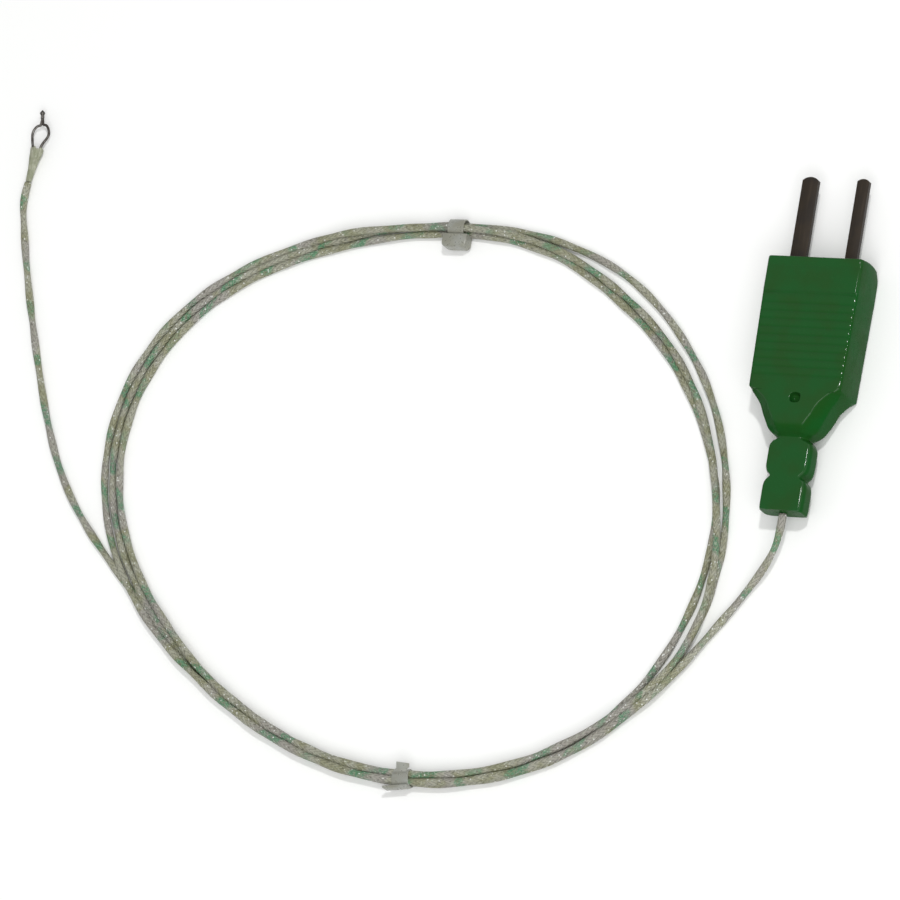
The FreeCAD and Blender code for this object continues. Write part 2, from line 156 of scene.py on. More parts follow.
lead = {
    "plugEnd": [(0, -24.4, 3.65), (-0.1, -28, 3.3), (-2.1, -31.8, 1.9), (-5.2, -36, 0.8), (-8.3, -40.6, 0.8),
                (-14.6, -49.7, 1.4)],
    "junctionEnd": [(-100.4, -40.6, 0.6), (-104.2, -37.1, 0.6), (-110.2, -31, 0.6), (-114.9, -24.6, 0.6),
                    (-118.9, -16.6, 0.6), (-123.4, -4.8, 0.6), (-127, 5.8, 0.6), (-129.1, 13.2, 0.6),
                    (-130.05, 17, 0.65), (-129.7, 19.8, 0.75)],
    "wide": 1.13, "thin": 0.92, "lay": 8.2, "swell": 0.04, "sides": 16, "samples": 20,
}
coil = {
    "centre": (-57.5, -25), "radius": 43.9,
    "waves": ((1, 0.45, 71), (2, 4.6, -16.4), (3, 1.0, 51), (4, 0.6, -19)),    # count, rise, lean in degrees
    "bulgeAt": 170, "bulgeWide": 50, "bulge": 0.4,
    "start": 324, "turns": 3.28, "perTurn": 36,
    "ties": (90.5, -81.2), "tieSpread": 22, "tieLift": 0.25, "tieFlat": 1.4,
    # Where each turn lies in the bundle at these shares of a turn: outwards from its middle, then its height.
    "stations": (0.02, 0.08, 0.17, 0.27, 0.315, 0.36, 0.46, 0.55, 0.585, 0.62, 0.665, 0.7, 0.76, 0.83, 0.89,
                 0.94, 0.97),
    "outwards": (
        (0.8, 0.55, 0.5, 0.5, 0.95, 1.25, 1.2, 1.0, 0.9, 0.35, 0.25, 0.1, -0.65, -0.25, -0.4, 1.2, 1.25),
        (-0.5, -0.55, -0.5, -0.5, -1.1, -1.2, -1.2, -1.0, -0.75, -0.35, -0.3, -0.6, -1.75,
         -1.2, -0.5, -1.2, -1.2),
        (-0.6, -0.55, -0.5, -0.5, -0.1, 0, 0, 0, 0.4, 0.9, 0.85, 1.2, 1.85, 1.65, 0.95, 0.8, 0.85),
        (0.6, 0.55, 0.5, 0.7)),
    "heights": (
        (1.6, 1.65, 1.65, 1.65, 1.3, 0.7, 0.6, 0.6, 1.65, 1.6, 1.6, 1.5, 0.6, 1.0, 1.65, 1.7, 1.7),
        (1.7, 1.65, 1.65, 1.65, 1.2, 0.7, 0.6, 0.6, 0.6, 0.6, 0.6, 0.6, 0.6, 0.6, 0.6, 0.6, 0.6),
        (0.6, 0.6, 0.6, 0.6, 0.6, 0.6, 0.6, 0.6, 0.6, 0.6, 0.6, 0.6, 0.6, 0.6, 0.6, 0.6, 0.6),
        (0.6, 0.6, 0.6, 0.6)),
}


def coilMiddle(angle):
    away = (angle - coil["bulgeAt"] + 180) % 360 - 180
    bulge = 0
    if abs(away) < coil["bulgeWide"]:
        bulge = coil["bulge"] * math.cos(math.radians(90 * away / coil["bulgeWide"])) ** 2
    waves = sum(rise * math.cos(math.radians(count * (angle - lean))) for count, rise, lean in coil["waves"])
    return coil["radius"] + bulge + waves


def inBundle(table, turn):      # eases from each station's value to the next
    knots = []
    for whole, row in enumerate(table):
        knots += [(whole + share, value) for share, value in zip(coil["stations"], row)]
    before = max([knot for knot in knots if knot[0] <= turn], default=knots[0])
    after = min([knot for knot in knots if knot[0] > turn], default=knots[-1])
    if after[0] <= before[0]:
        return before[1]
    share = (turn - before[0]) / (after[0] - before[0])
    return before[1] + (after[1] - before[1]) * share * share * (3 - 2 * share)


def liftAtTies(angle):
    near = min(abs((angle - tie + 180) % 360 - 180) for tie in coil["ties"])
    ease = math.cos(math.radians(90 * min(1, near / coil["tieSpread"])))
    return coil["tieLift"] * min(1, coil["tieFlat"] * max(0, ease))


def coilPoints():
    centre = Vector((*coil["centre"], 0))
    points = []
    for step in range(round(coil["turns"] * coil["perTurn"]) + 1):
        turn = step / coil["perTurn"]
        angle = coil["start"] - 360 * turn
        away = coilMiddle(angle) + inBundle(coil["outwards"], turn)
        height = inBundle(coil["heights"], turn) + liftAtTies(angle)
        round_ = Vector((math.cos(math.radians(angle)), math.sin(math.radians(angle)), 0))
        points.append(centre + round_ * away + Vector((0, 0, height)))
    return points


def leadLine():         # the smooth line that everything on the lead follows, in metres
    route = [Vector(p) for p in lead["plugEnd"]] + coilPoints() + [Vector(p) for p in lead["junctionEnd"]]
    data = bpy.data.curves.new("leadRoute", "CURVE")
    data.dimensions = "3D"
    data.resolution_u = lead["samples"]
    spline = data.splines.new("NURBS")
    spline.points.add(len(route) - 1)
    for point, place in zip(spline.points, route):
        point.co = (*(place * mm), 1)
    spline.order_u = 3
    spline.use_endpoint_u = True
    curve = bpy.data.objects.new("leadRoute", data)
    bpy.context.scene.collection.objects.link(curve)
    bpy.context.view_layer.update()
    mesh = bpy.data.meshes.new_from_object(curve)
    line = [corner.co.copy() for corner in mesh.vertices]
    bpy.data.objects.remove(curve)
    return line


def sweepTube(name, line, halfSizes, sides):
    # A tube along a line. halfSizes gives the section's two half sizes and its turn, from the distance along.
    mesh = bmesh.new()
    uv = mesh.loops.layers.uv.new("along")
    ahead = (line[1] - line[0]).normalized()
    side = ahead.cross(Vector((0, 0, 1))).normalized()
    distance = 0
    rings, distances = [], []
    for index, centre in enumerate(line):
        near, far = line[max(index - 1, 0)], line[min(index + 1, len(line) - 1)]
        ahead = (far - near).normalized()
        side = (side - ahead * side.dot(ahead)).normalized()
        up = side.cross(ahead)
        distance += (centre - near).length
        wide, thin, turn = halfSizes(distance)
        ring = []
        for corner in range(sides):
            angle = 2 * math.pi * corner / sides
            across, above = math.cos(angle - turn) * wide, math.sin(angle - turn) * thin
            flatAcross = across * math.cos(turn) - above * math.sin(turn)
            flatAbove = across * math.sin(turn) + above * math.cos(turn)
            ring.append(mesh.verts.new(centre + side * flatAcross + up * flatAbove))
        rings.append(ring)
        distances.append(distance / mm)
    for index in range(len(rings) - 1):
        for corner in range(sides):
            following = (corner + 1) % sides
            face = mesh.faces.new((rings[index][corner], rings[index][following],
                                   rings[index + 1][following], rings[index + 1][corner]))
            face.smooth = True
            turns = (corner / sides, (corner + 1) / sides, (corner + 1) / sides, corner / sides)
            along = (distances[index],) * 2 + (distances[index + 1],) * 2
            for loop, around, up in zip(face.loops, turns, along):
                loop[uv].uv = (around, up)
    mesh.faces.new(reversed(rings[0]))
    mesh.faces.new(rings[-1])
    bmesh.ops.recalc_face_normals(mesh, faces=mesh.faces)
    data = bpy.data.meshes.new(name)
    mesh.to_mesh(data)
    mesh.free()
    piece = bpy.data.objects.new(name, data)
    bpy.context.scene.collection.objects.link(piece)
    return piece, distance


def leadSection(distance):
    turn = 2 * math.pi * distance / mm / lead["lay"] / 2
    uneven = 1 + lead["swell"] * math.sin(distance / mm * 0.9) * math.sin(distance / mm * 0.23 + 1)
    return lead["wide"] / 2 * mm * uneven, lead["thin"] / 2 * mm * uneven, turn


leadPath = leadLine()
leadBraid, leadLength = sweepTube("leadBraid", leadPath, leadSection, lead["sides"])
print("lead:", len(leadPath), "rings,", round(leadLength, 4), "m")


# Plug: one soft moulding, drawn down from its pin-side face section by section

plug = {
    "pinFace": 11.7, "middle": 3.65,
    "halfWide": 7.1, "halfThick": 3.65, "headCut": 0.32, "gripCut": 0.6, "gripDrop": 0.12,
    "barrel": 0.1, "taper": 0.25,
    "headLong": 5.05, "ribsFrom": 6.7, "ribPitch": 1.16, "ribCount": 10, "ribHalf": 0.3, "ribDeep": 0.2,
    "bandAt": 1.25, "bandHalf": 0.28, "bandDeep": 0.2, "stepDeep": 0.2, "pinEndRound": 1.8, "dome": 0.5,
    "straight": 19.3, "neckAt": 25.6, "lobePitch": 5.6, "long": 36.1,
    # The shoulder's sections: half width, depth below the front, edge cut. The first three are at the dimple.
    "shoulderAt": (22.3, 23.0, 23.9, 24.5, 25.05),
    "shoulder": ((6.6, 0, 1.2), (5.9, 0, 1.6), (5.2, 0, 1.7), (4.85, 0, 1.72), (4.45, 0, 1.78),
                 (4.05, 0.05, 1.9), (3.75, 0.3, 1.8), (3.1, 0.9, 1.3)),
    "neckHalf": 2.35, "lobeHalf": 3.25, "reliefHalf": 1.9, "reliefCut": 0.9,
    "lobeRise": ((0, 0), (0.25, 0.22), (0.6, 0.72), (1.15, 0.95), (1.6, 1)),    # distance, share of the swell
    "channelDeep": 0.46, "channelHalf": 0.62, "channelAt": 2.55,
    "dimpleAt": 20.35, "dimpleHalf": 0.9, "dimpleSide": 0.35, "dimpleRim": 0.12,
    "dimpleSteps": ((0.25, 0.93), (0.45, 0.9), (0.3, 0.6)),
    "ridgeRound": 0.2, "faceRound": 0.25, "glossFrom": 6.9, "glossFull": 7.15,
}


def section(drop, wide, high, cut, dip=0, side=None):       # eight-sided: its flats may dip into a groove
    return {"drop": drop, "flat": (wide - cut, high - dip), "side": (wide, side or high - cut)}


def plugSections():
    wide, high, cut = plug["halfWide"], plug["halfThick"], plug["headCut"]
    low, grip, side = high - plug["gripDrop"], plug["gripCut"], high - cut
    band, half, step = plug["bandAt"], plug["bandHalf"], plug["headLong"]
    rows = [section(0, wide - 0.06, high - 0.05, cut), section(0.2, wide, high, cut)]
    rows += [section(band - half, wide, high, cut), section(band, wide, high, cut, plug["bandDeep"]),
             section(band + half, wide, high, cut), section(step - 0.5, wide, high, cut),
             section(step - 0.12, wide, high, cut),
             section(step + 0.12, wide, low, grip, plug["stepDeep"], side),
             section(step + 0.5, wide, low, grip, 0, side)]
    straight, ribHalf = plug["straight"], plug["ribHalf"]
    for rib in range(plug["ribCount"]):
        at = plug["ribsFrom"] + rib * plug["ribPitch"]
        near = wide - plug["taper"] * (at - step) / (straight - step)
        rows += [section(at - ribHalf, near, low, grip, 0, side),
                 section(at, near, low, grip, plug["ribDeep"], side),
                 section(at + ribHalf, near, low, grip, 0, side)]
    wide -= plug["taper"]
    rows += [section(straight - 0.4, wide, low, grip, 0, side),
             section(straight, wide - 0.1, low, grip + 0.15)]
    dimple, half = plug["dimpleAt"], plug["dimpleHalf"]
    places = (dimple - half, dimple, dimple + half) + plug["shoulderAt"]
    for at, (across, below, edge) in zip(places, plug["shoulder"]):
        rows.append(section(at, across, low - below, edge))
    thin, cut, neck, rise = plug["reliefHalf"], plug["reliefCut"], plug["neckHalf"], plug["lobeRise"]
    swell = plug["lobeHalf"] - neck
    for start in (plug["neckAt"], plug["neckAt"] + plug["lobePitch"]):
        rows += [section(start + away, neck + part * swell, thin, cut) for away, part in rise]
        for away, dip in ((-1.25, 0), (-0.9, plug["channelDeep"]), (0.9, plug["channelDeep"]), (1.25, 0)):
            at = start + plug["channelAt"] + away * plug["channelHalf"]
            rows.append(section(at, neck + swell, thin, cut, dip))
        if start == plug["neckAt"]:
            rows += [section(start + plug["lobePitch"] - away, neck + part * swell, thin, cut)
                     for away, part in reversed(rise[1:])]
    end, wide = plug["long"], neck + swell
    return rows + [section(end - 0.9, wide, thin, cut), section(end - 0.15, wide - 0.03, thin, cut),
                   section(end, wide - 0.15, thin - 0.1, cut)]


def shapeSection(before, row, at):      # moves the eight corners at one place to the next section
    centre = (0, at, plug["middle"] * mm)
    acrossLimit = (before["flat"][0] + before["side"][0]) / 2 * mm
    for part, test in (("flat", lambda corner: abs(corner.co.x) < acrossLimit),
                       ("side", lambda corner: abs(corner.co.x) > acrossLimit)):
        pick("VERT", lambda corner: abs(corner.co.y - at) < 0.01 * mm and test(corner))
        stretch((row[part][0] / before[part][0], 1, row[part][1] / before[part][1]), centre)


def modelPlug():
    rows = plugSections()
    first, second = rows[0], rows[1]
    pinFace, middle = plug["pinFace"], plug["middle"]
    clearSelection()
    bpy.ops.mesh.primitive_cube_add(size=1, location=(0, (pinFace - second["drop"] / 2) * mm, middle * mm))
    piece = bpy.context.object
    piece.scale = (2 * first["side"][0] * mm, second["drop"] * mm, 2 * first["flat"][1] * mm)
    settle(piece, "plugBody")
    edit(piece)
    pick("EDGE", lambda edge: abs(wayOf(edge).y) > 0.9)
    bpy.ops.mesh.bevel(offset=(first["side"][0] - first["flat"][0]) * mm, segments=1)
    shapeSection(first, second, (pinFace - second["drop"]) * mm)
    for before, row in zip(rows[1:], rows[2:]):
        last = (pinFace - before["drop"]) * mm
        pick("FACE", lambda face: face.normal.y < -0.9 and abs(middleOf(face).y - last) < 0.01 * mm)
        move = (0, (before["drop"] - row["drop"]) * mm, 0)
        bpy.ops.mesh.extrude_region_move(TRANSFORM_OT_translate={"value": move})
        shapeSection(before, row, (pinFace - row["drop"]) * mm)
    return piece


def addPlugDetail(piece):
    middle, half = plug["middle"] * mm, plug["dimpleHalf"] * mm
    pinFace = plug["pinFace"] * mm
    hole = plug["dimpleSide"] * mm
    for place in (hole - half, hole + half):
        cutAt((place, 0, 0), (1, 0, 0))
    cutAt((0, 0, middle), (0, 0, 1))
    # The long sides swell a little at mid thickness, as a soft moulding does.
    pick("VERT", lambda c: abs(c.co.z - middle) < 0.01 * mm and abs(c.co.x) > 6 * mm)
    stretch((1 + plug["barrel"] / plug["halfWide"], 1, 1), (0, 0, middle))
    pick("VERT", lambda c: abs(c.co.z - middle) < 0.01 * mm and c.co.y > pinFace - 0.01 * mm)
    bpy.ops.transform.translate(value=(0, plug["dome"] * mm, 0))
    pick("EDGE", lambda e: abs(wayOf(e).y) > 0.6 and e.is_manifold and e.calc_face_angle() > 0.3)
    bpy.ops.mesh.bevel(offset=plug["ridgeRound"] * mm, segments=2, affect="EDGES")
    tail = pinFace - plug["long"] * mm
    for end in (lambda face: face.normal.y < -0.95 and middleOf(face).y < tail + 0.1 * mm,
                lambda face: face.normal.y > 0.95 and middleOf(face).y > pinFace - 0.1 * mm):
        pick("FACE", end)
        bpy.ops.mesh.inset(thickness=plug["faceRound"] * mm)
    # The back edge of the pin end is rounded off.
    radius, band, bandHalf = plug["pinEndRound"], plug["bandAt"], plug["bandHalf"]
    for drop in (0, 0.2, band - bandHalf, band, band + bandHalf):
        lift = (radius - math.sqrt(radius ** 2 - (radius - drop) ** 2)) * mm
        pick("VERT", lambda c: abs(c.co.y - pinFace + drop * mm) < 0.01 * mm and c.co.z < middle - 0.01 * mm)
        stretch((1, 1, (middle - lift) / middle), (0, 0, middle))
    # Dimple in the front face.
    low = pinFace - (plug["dimpleAt"] + plug["dimpleHalf"]) * mm
    high = pinFace - (plug["dimpleAt"] - plug["dimpleHalf"]) * mm
    pick("FACE", lambda face: face.normal.z > 0.9 and low < middleOf(face).y < high
         and abs(middleOf(face).x - hole) < half)
    bpy.ops.mesh.inset(thickness=plug["dimpleRim"] * mm)
    for depth, narrow in plug["dimpleSteps"]:
        bpy.ops.mesh.extrude_region_move(TRANSFORM_OT_translate={"value": (0, 0, -depth * mm)})
        stretch((narrow, narrow, 1), (hole, pinFace - plug["dimpleAt"] * mm, middle))
    bpy.ops.object.mode_set(mode="OBJECT")
    tidyNormals(piece)
    finishWith(piece, "SUBSURF", levels=2, render_levels=2)
    work(piece)
    bpy.ops.object.shade_smooth()


plugBody = modelPlug()
addPlugDetail(plugBody)
print("plug:", len(plugBody.data.polygons), "faces")


# Blades: flat strips with gently arched tips

blades = {
    "pitch": 7.9, "thick": 0.8, "from": 1.1, "to": 24.4, "wide": {"negative": 2.4, "positive": 1.8},
    "arch": 0.21, "steps": 6, "tipEnd": 0.97, "edge": 0.07,     # the tip's arc stops short of a quarter turn
}


def modelBlade(name, side):
    width = blades["wide"][name]
    rise = blades["arch"] * width
    radius = (width ** 2 / 4 + rise ** 2) / 2 / rise
    across, long = side * blades["pitch"] / 2, blades["to"] - rise - blades["from"]
    clearSelection()
    bpy.ops.mesh.primitive_cube_add(size=1, location=(across * mm, (blades["from"] + long / 2) * mm,
                                                      plug["middle"] * mm))
    piece = bpy.context.object
    piece.scale = (width * mm, long * mm, blades["thick"] * mm)
    settle(piece, f"{name}Blade")
    edit(piece)
    pick("FACE", lambda face: face.normal.y > 0.9)
    half, up = width / 2, 0
    for step in range(1, blades["steps"] + 1):
        before, up = up, rise * math.sin(math.pi / 2 * step / blades["steps"] * blades["tipEnd"])
        now = math.sqrt(max(radius ** 2 - (radius - rise + up) ** 2, 0.0001))
        bpy.ops.mesh.extrude_region_move(TRANSFORM_OT_translate={"value": (0, (up - before) * mm, 0)})
        stretch((now / half, 1, 1), (across * mm, 0, 0))
        half = now
    bpy.ops.object.mode_set(mode="OBJECT")
    finishWith(piece, "BEVEL", width=blades["edge"] * mm, segments=2, limit_method="ANGLE", angle_limit=0.7)
    work(piece)
    bpy.ops.object.shade_smooth_by_angle(angle=0.3)
    return piece


negativeBlade, positiveBlade = modelBlade("negative", -1), modelBlade("positive", 1)
print("blades done")


# Cable ties: a strap round the bundle, its head on one side and, on the lower tie, the strap's cut stub

ties = {
    "upper": {"angle": 90.5, "outwards": 0.25, "headSide": -1, "headShift": -0.1, "headDeep": 2.0,
              "headHigh": 2.0, "stubSide": 0},
    "lower": {"angle": -81.2, "outwards": 0, "headSide": 1, "headShift": -0.75, "headDeep": 0.36,
              "headHigh": 1.5, "stubSide": -1},
    "half": 1.1, "strap": 2.5, "thick": 0.22, "low": 0.32, "top": 2.42, "corner": 0.95, "rim": 0.09,
    "headWide": 3.8, "headRound": 0.6, "headEdge": 0.25, "headTop": 2.6, "headRise": 0.1, "slotDeep": 0.5,
    "stubFrom": 0.5, "stubWide": 2.0, "stubLong": 0.75, "stubTurn": 12, "stubLean": 0.4,
    "toothPitch": 0.5, "toothDeep": 0.12,
}


def modelStrap():       # closed band round the bundle: across it is X, along the lead is Y
    low, top, half = ties["low"], ties["top"], ties["half"]
    clearSelection()
    bpy.ops.mesh.primitive_cube_add(size=1, location=(0, 0, (low + top) / 2 * mm))
    piece = bpy.context.object
    piece.scale = (2 * half * mm, ties["strap"] * mm, (top - low) * mm)
    settle(piece, "strap")
    edit(piece)
    pick("FACE", lambda face: abs(face.normal.y) > 0.9)
    bpy.ops.mesh.delete(type="ONLY_FACE")
    pick("EDGE", lambda edge: abs(wayOf(edge).y) > 0.9)
    bpy.ops.mesh.bevel(offset=ties["corner"] * mm, segments=6)
    bpy.ops.object.mode_set(mode="OBJECT")
    finishWith(piece, "SOLIDIFY", thickness=ties["thick"] * mm, offset=1)
    finishWith(piece, "BEVEL", width=ties["rim"] * mm, segments=3, limit_method="ANGLE", angle_limit=0.9)
    return piece


def modelHead(choice):
    side, deep, high, top = choice["headSide"], choice["headDeep"], choice["headHigh"], ties["headTop"]
    middle = side * (ties["half"] + deep / 2 - 0.02)
    clearSelection()
    bpy.ops.mesh.primitive_cube_add(size=1, location=(middle * mm, choice["headShift"] * mm,
                                                      (top - high / 2) * mm))
    piece = bpy.context.object
    piece.scale = (deep * mm, ties["headWide"] * mm, high * mm)
    settle(piece, "head")
    edit(piece)
    pick("EDGE", lambda e: abs(wayOf(e).z) > 0.9 and middleOf(e).x * side > abs(middle) * mm)
    bpy.ops.mesh.bevel(offset=min(ties["headRound"], deep * 0.6) * mm, segments=5)
    # The strap's slot shows underneath, where the strap goes in.
    pick("FACE", lambda face: face.normal.z < -0.9)
    bpy.ops.mesh.inset(thickness=min(deep * 0.3, 0.5) * mm)
    bpy.ops.mesh.extrude_region_move(TRANSFORM_OT_translate={"value": (0, 0, ties["slotDeep"] * mm)})
    pick("FACE", lambda face: face.normal.z > 0.9 and middleOf(face).z > (top - 0.1) * mm)
    bpy.ops.mesh.inset(thickness=min(deep * 0.2, ties["headEdge"]) * mm)
    bpy.ops.transform.translate(value=(0, 0, ties["headRise"] * mm))
    bpy.ops.object.mode_set(mode="OBJECT")
    width = min(deep * 0.15, 0.14) * mm
    finishWith(piece, "BEVEL", width=width, segments=3, limit_method="ANGLE", angle_limit=0.9)
    return piece


def modelStub(side):        # the cut end of the strap, with its ratchet teeth
    top = ties["top"] + ties["thick"] / 2
    clearSelection()
    start, end = ties["half"] - ties["stubFrom"], ties["half"] + ties["thick"] + ties["stubLong"]
    bpy.ops.mesh.primitive_cube_add(size=1, location=(side * (start + end) / 2 * mm, 0, top * mm))
    piece = bpy.context.object
    piece.scale = ((end - start) * mm, ties["stubWide"] * mm, ties["thick"] * 0.85 * mm)
    settle(piece, "stub")
    edit(piece)
    count, half = int((end - start) / ties["toothPitch"]) * 2, ties["toothPitch"] / 2
    for step in range(1, count):
        cutAt((side * (start + step * half) * mm, 0, 0), (1, 0, 0))
    for step in range(1, count, 2):
        at = side * (start + step * half) * mm
        pick("EDGE", lambda edge: abs(wayOf(edge).y) > 0.9 and abs(middleOf(edge).x - at) < 0.01 * mm
             and middleOf(edge).z > top * mm)
        bpy.ops.transform.translate(value=(0, 0, -ties["toothDeep"] * mm))
    # The cut end isn't square, and the stub leans along the lead.
    pick("VERT", lambda corner: corner.co.x * side > (end - 0.1) * mm)
    bpy.ops.transform.rotate(value=math.radians(ties["stubTurn"]), orient_axis="Z",
                             center_override=(side * end * mm, 0, top * mm))
    pick("VERT", lambda corner: corner.co.x * side > (ties["half"] + ties["thick"]) * mm)
    bpy.ops.transform.translate(value=(0, ties["stubLean"] * mm, 0))
    bpy.ops.object.mode_set(mode="OBJECT")
    finishWith(piece, "BEVEL", width=0.07 * mm, segments=2, limit_method="ANGLE", angle_limit=0.9)
    return piece


def modelTie(name):
    choice = ties[name]
    parts = [modelStrap(), modelHead(choice)]
    if choice["stubSide"]:
        parts.append(modelStub(choice["stubSide"]))
    piece = join(parts, f"{name}Tie")
    angle = math.radians(choice["angle"])
    away = (coilMiddle(choice["angle"]) + choice["outwards"]) * mm
    centre = Vector((*coil["centre"], 0)) * mm
    place = Matrix.Translation(centre + Vector((math.cos(angle), math.sin(angle), 0)) * away)
    settle(piece, f"{name}Tie", place @ Matrix.Rotation(angle, 4, "Z"))
    bpy.ops.object.shade_smooth_by_angle(angle=0.7)
    return piece


upperTie, lowerTie = modelTie("upper"), modelTie("lower")
print("ties done")


# Junction: the stiffened, flared end of the braid, two bare wires that bow apart, and the welded bead

junction = {
    "start": (-129.7, 19.8, 0.75), "end": (-129.06, 24.95, 1.12),
    "stemAlong": (-0.208, 0.978, 0), "stemAcross": (0.978, 0.208, 0),
    "endHalf": 1.12, "endThin": 0.78, "flare": 1.7, "corners": 24, "steps": 9,
    "wire": 0.4, "slim": 0.8,
    "negative": [(-0.75, -1.6), (-0.65, -0.4), (-0.72, 0.6), (-0.82, 1.7), (-0.78, 2.9), (0.0, 3.7),
                 (0.66, 3.66), (0.78, 4.5)],
    "positive": [(-0.1, -1.6), (0.35, -0.3), (0.8, 0.7), (1.9, 1.7), (1.96, 2.7), (1.55, 3.62), (0.95, 3.7),
                 (0.98, 4.5)],
    "stemEnd": 5.3, "stemAt": 0.88, "twist": 0.12, "turns": 1.5, "stemSteps": 8, "bead": 0.4,
}


def atJunction(across, along, up=0):
    base = Vector(junction["end"])
    return (base + Vector(junction["stemAcross"]) * across + Vector(junction["stemAlong"]) * along
            + Vector((0, 0, up))) * mm


def modelSeal():
    start, end = Vector(junction["start"]) * mm, Vector(junction["end"]) * mm
    ahead = (end - start).normalized()
    long = (end - start).length
    turn = ahead.to_track_quat("Z", "Y").to_matrix().to_4x4()
    clearSelection()
    bpy.ops.mesh.primitive_circle_add(vertices=junction["corners"], radius=lead["thin"] / 2 * mm,
                                      fill_type="NGON")
    piece = bpy.context.object
    piece.name = "sealEnd"
    edit(piece)
    wide = thin = lead["thin"] / 2
    for step in range(1, junction["steps"] + 1):
        share = step / junction["steps"]
        flare = share ** junction["flare"]
        nextWide = lead["thin"] / 2 + (junction["endHalf"] - lead["thin"] / 2) * flare
        nextThin = lead["thin"] / 2 + (junction["endThin"] - lead["thin"] / 2) * flare
        bpy.ops.mesh.extrude_region_move(TRANSFORM_OT_translate={"value": (0, 0, long / junction["steps"])})
        stretch((nextWide / wide, nextThin / thin, 1), (0, 0, 0))
        wide, thin = nextWide, nextThin
    # The mouth is uneven: rounded over, hollow round the wires, with a few yarn ends standing up.
    bpy.ops.mesh.extrude_region_move(TRANSFORM_OT_translate={"value": (0, 0, 0.12 * mm)})
    stretch((0.88, 0.84, 1), (0, 0, 0))
    bpy.ops.mesh.inset(thickness=0.16 * mm)
    bpy.ops.mesh.extrude_region_move(TRANSFORM_OT_translate={"value": (0, 0, -0.3 * mm)})
    stretch((0.8, 0.75, 1), (0, 0, 0))
    bpy.ops.mesh.inset(thickness=0.2 * mm)
    bpy.ops.mesh.extrude_region_move(TRANSFORM_OT_translate={"value": (0, 0, 0.16 * mm)})
    bpy.ops.object.mode_set(mode="OBJECT")
    finishWith(piece, "SUBSURF", levels=1, render_levels=1)
    for corner in piece.data.vertices:
        around = math.atan2(corner.co.y, corner.co.x)
        share = max(corner.co.z, 0) / long
        ragged = math.sin(around * 5 + 1) * 0.13 + math.sin(around * 9 + 2) * 0.08
        waves = 0.05 * math.sin(around * 3 + corner.co.z / mm * 2.1) + 0.06 * math.sin(around * 7)
        corner.co.x *= 1 + share * waves
        corner.co.y *= 1 + share * waves
        corner.co.z += max(share - 0.8, 0) * 5 * ragged * mm
    place = Matrix.Translation(start) @ turn
    settle(piece, "sealEnd", place)
    bpy.ops.object.shade_smooth()
    return piece


def modelWire(name, points, radius, slim):      # a bare round wire along a smooth line, slimmer at its end
    data = bpy.data.curves.new(name, "CURVE")
    data.dimensions = "3D"
    data.resolution_u = 8
    data.bevel_depth = radius
    data.bevel_resolution = 4
    data.use_fill_caps = True
    spline = data.splines.new("NURBS")
    spline.points.add(len(points) - 1)
    for index, (point, place) in enumerate(zip(spline.points, points)):
        point.co = (*place, 1)
        point.radius = 1 if index < len(points) / 2 else slim
    spline.order_u = 3
    spline.use_endpoint_u = True
    piece = bpy.data.objects.new(name, data)
    bpy.context.scene.collection.objects.link(piece)
    work(piece)
    bpy.ops.object.convert(target="MESH")
    return settle(bpy.context.object, name)


def modelLegs():
    legs = []
    for name, phase in (("negative", math.pi), ("positive", 0)):
        points = [atJunction(across, along) for across, along in junction[name]]
        low = junction[name][-1][1]
        for step in range(1, junction["stemSteps"] + 1):
            share = step / junction["stemSteps"]
            turn = phase + 2 * math.pi * junction["turns"] * share
            across = junction["stemAt"] + junction["twist"] * math.cos(turn)
            points.append(atJunction(across, low + (junction["stemEnd"] - low) * share,
                                     junction["twist"] * math.sin(turn)))
        legs.append(modelWire(f"{name}Leg", points, junction["wire"] / 2 * mm, junction["slim"]))
    return legs


def modelBead():        # a drop of weld metal drawn out to a point
    size = junction["bead"] * mm
    clearSelection()
    bpy.ops.mesh.primitive_uv_sphere_add(segments=24, ring_count=16, radius=size)
    piece = bpy.context.object
    edit(piece)
    for above, narrow, taller in ((0.1, 0.9, 1.1), (0.45, 0.72, 1.25), (0.85, 0.5, 1.2)):
        pick("VERT", lambda corner: corner.co.z > above * size)
        stretch((narrow, narrow, taller), (0, 0, above * size))
    pick("VERT", lambda corner: corner.co.z < -0.4 * size)
    stretch((0.72, 0.72, 1.35), (0, 0, -0.4 * size))
    bpy.ops.object.mode_set(mode="OBJECT")
    turn = Vector(junction["stemAlong"]).to_track_quat("Z", "Y").to_matrix().to_4x4()
    place = Matrix.Translation(atJunction(junction["stemAt"], junction["stemEnd"] + 0.3))
    settle(piece, "junctionBead", place @ turn)
    bpy.ops.object.shade_smooth()
    return piece


sealEnd = modelSeal()
negativeLeg, positiveLeg = modelLegs()
weldBead = modelBead()
print("junction done")


# Materials: maths on sockets is written as expressions

class Value:
    def __init__(self, recipe, socket):
        self.recipe, self.socket = recipe, socket

    def maths(self, operation, *values):
        return self.recipe.node("ShaderNodeMath", {"operation": operation}, values)

    def __add__(self, other):
        return self.maths("ADD", self, other)

    def __sub__(self, other):
        return self.maths("SUBTRACT", self, other)

    def __rsub__(self, other):
        return self.maths("SUBTRACT", other, self)

    def __mul__(self, other):
        return self.maths("MULTIPLY", self, other)

    def __gt__(self, other):
        return self.maths("GREATER_THAN", self, other)

    def __abs__(self):
        return self.maths("ABSOLUTE", self)

    __radd__ = __add__
    __rmul__ = __mul__


